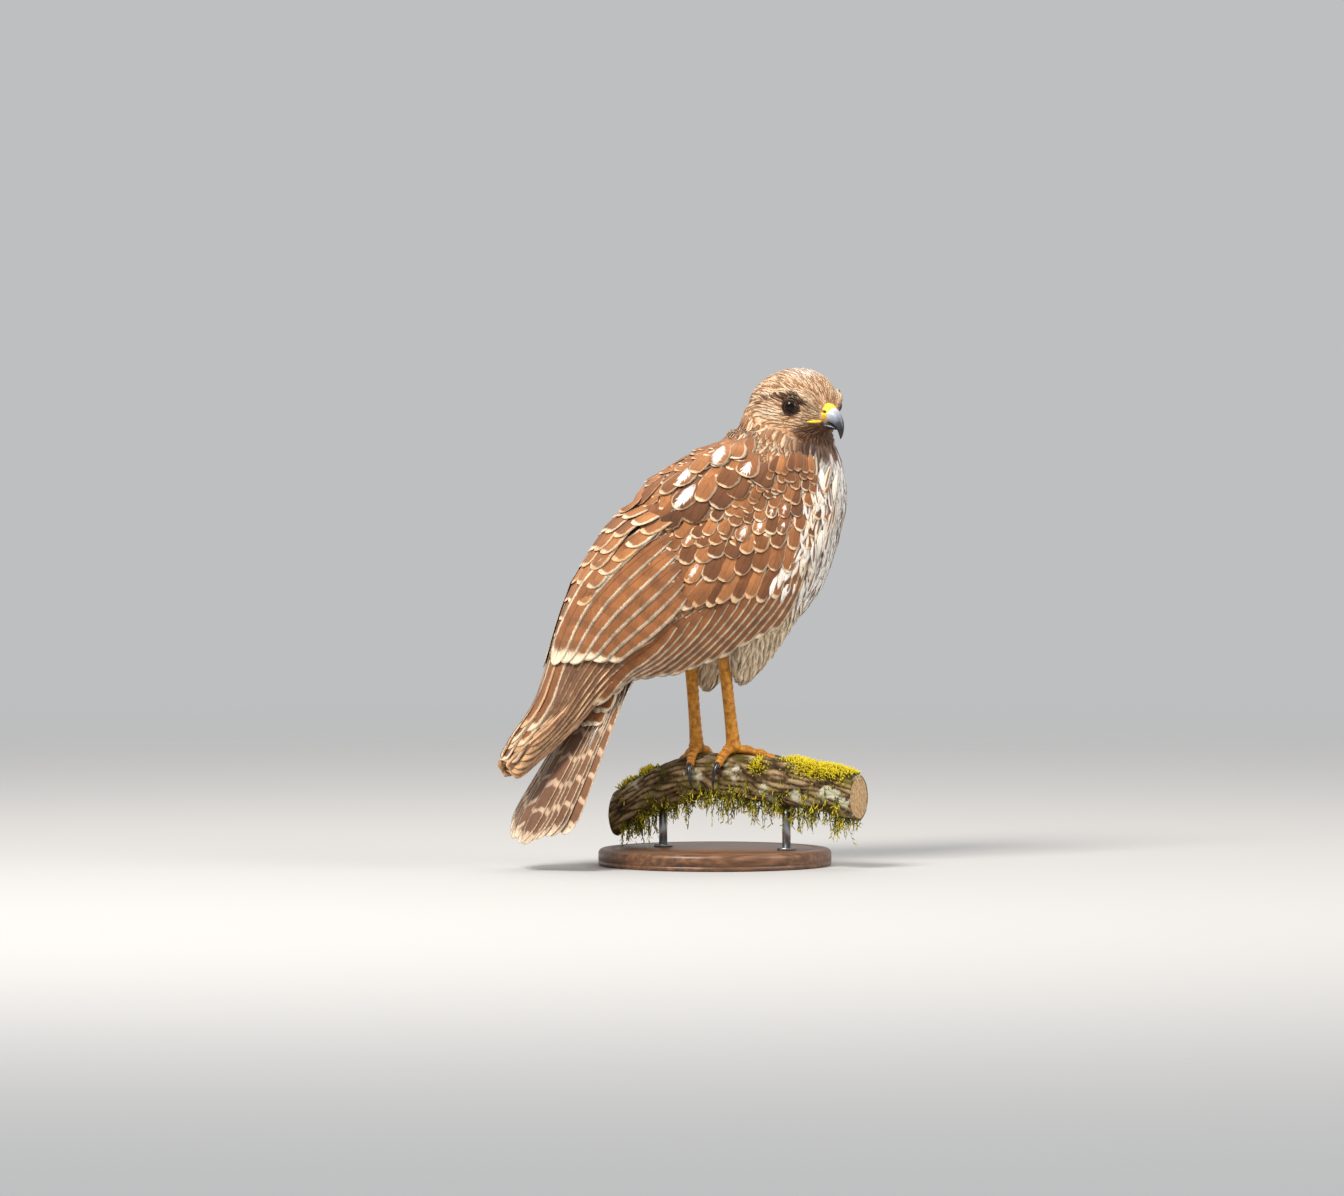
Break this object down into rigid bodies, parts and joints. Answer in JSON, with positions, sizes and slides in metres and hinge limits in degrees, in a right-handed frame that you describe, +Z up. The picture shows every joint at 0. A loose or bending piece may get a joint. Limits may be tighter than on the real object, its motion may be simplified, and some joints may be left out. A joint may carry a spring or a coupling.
{
  "type": "perched young red-shouldered hawk",
  "caption": "Life-size model of a young brown hawk with its head turned, gripping a cut length of mossy branch that two short rods hold over a round flat base.",
  "frame": {"origin": "centre of the base's flat underside", "axes": "+X the way the bird's body faces, +Y its left, +Z up"},
  "size_m": [0.3049, 0.2051, 0.4188],
  "materials": {
    "body_plumage": "soft feathers",
    "flight_plumage": "smooth matte feathers",
    "cere": "waxy skin",
    "horn": "satin horn",
    "eye": "wet gloss",
    "leg_skin": "scaly skin",
    "claw": "polished horn",
    "bark": "rough bark with moss",
    "steel": "satin",
    "wood": "satin varnish"
  },
  "bodies": {
    "root": {"torso": "body_plumage", "neck": "body_plumage", "head": "body_plumage", "wing_left": "flight_plumage", "wing_right": "flight_plumage", "tail": "flight_plumage", "thigh_left": "body_plumage", "thigh_right": "body_plumage", "cere": "cere", "bill_upper": "horn", "bill_lower": "horn", "eye_left": "eye", "eye_right": "eye", "leg_left": "leg_skin", "leg_right": "leg_skin", "foot_left": "leg_skin", "foot_right": "leg_skin", "talon_left_middle": "claw", "talon_left_inner": "claw", "talon_left_outer": "claw", "talon_left_hind": "claw", "talon_right_middle": "claw", "talon_right_inner": "claw", "talon_right_outer": "claw", "talon_right_hind": "claw", "perch": "bark", "stand_rod_1": "steel", "stand_rod_2": "steel", "stand_base": "wood"}
  },
  "joints": []
}
